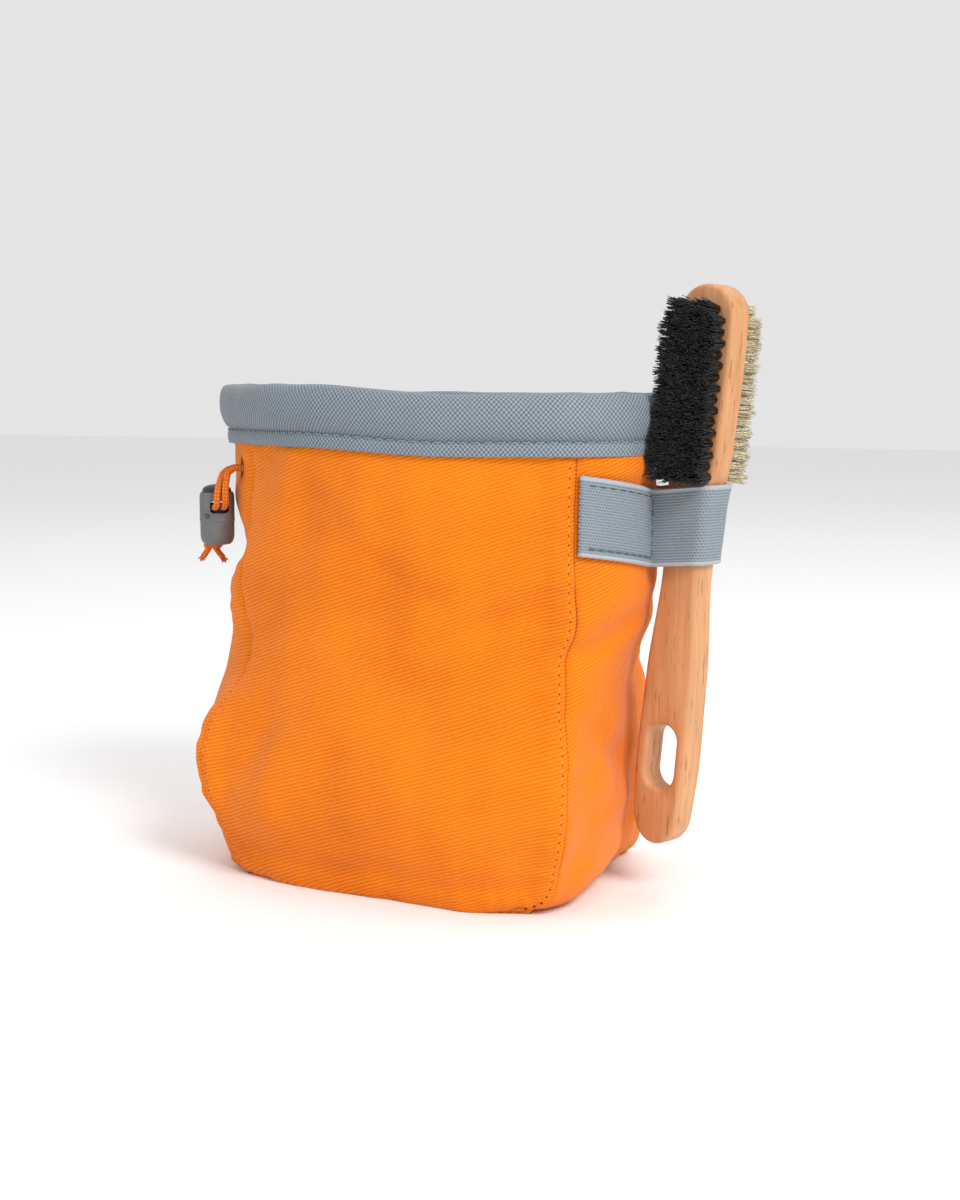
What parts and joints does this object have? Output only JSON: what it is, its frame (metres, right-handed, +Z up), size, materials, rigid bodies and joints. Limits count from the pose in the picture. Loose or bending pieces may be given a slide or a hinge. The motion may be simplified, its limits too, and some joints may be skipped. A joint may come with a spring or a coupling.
{
  "type": "climbing chalk bag with a brush in its loop",
  "caption": "Drawcord chalk bag of stiff cloth with a padded webbing rim, standing on its flat base, with a bristle brush in an elastic loop on its side.",
  "frame": {"origin": "centre of the flat underside of the bag's base", "axes": "+Z up through the open mouth, -Y towards the front panel, +X towards the side that carries the brush"},
  "size_m": [0.1976, 0.1184, 0.1958],
  "materials": {
    "orange_twill": "matte cotton twill",
    "grey_webbing": "matte basket-weave webbing",
    "grey_lining": "matte plain weave",
    "grey_elastic": "matte ribbed elastic",
    "beech": "oiled, satin",
    "black_bristle": "satin filaments",
    "cream_bristle": "natural bristle",
    "orange_cord": "braided cord",
    "lock_grey": "moulded, satin",
    "lock_dark": "moulded, satin"
  },
  "bodies": {
    "bag": {"front_panel": "orange_twill", "back_panel": "orange_twill", "gusset_strip": "orange_twill", "rim_binding": "grey_webbing", "closure_collar": "grey_lining", "belt_loop": "grey_webbing", "brush_strap": "grey_elastic", "brush_handle": "beech", "bristles_black": "black_bristle", "bristles_natural": "cream_bristle", "drawcord_a": "orange_cord", "drawcord_b": "orange_cord", "cord_knot": "orange_cord", "cord_lock_barrel": "lock_grey"},
    "lock_button": {"cord_lock_button": "lock_dark"}
  },
  "joints": [
    {"name": "lock_press", "type": "slide", "parent": "bag", "child": "lock_button", "axis": [0, 0, 1], "range_m": [-0.0018, 0], "stiffness_N_per_m": 600}
  ]
}
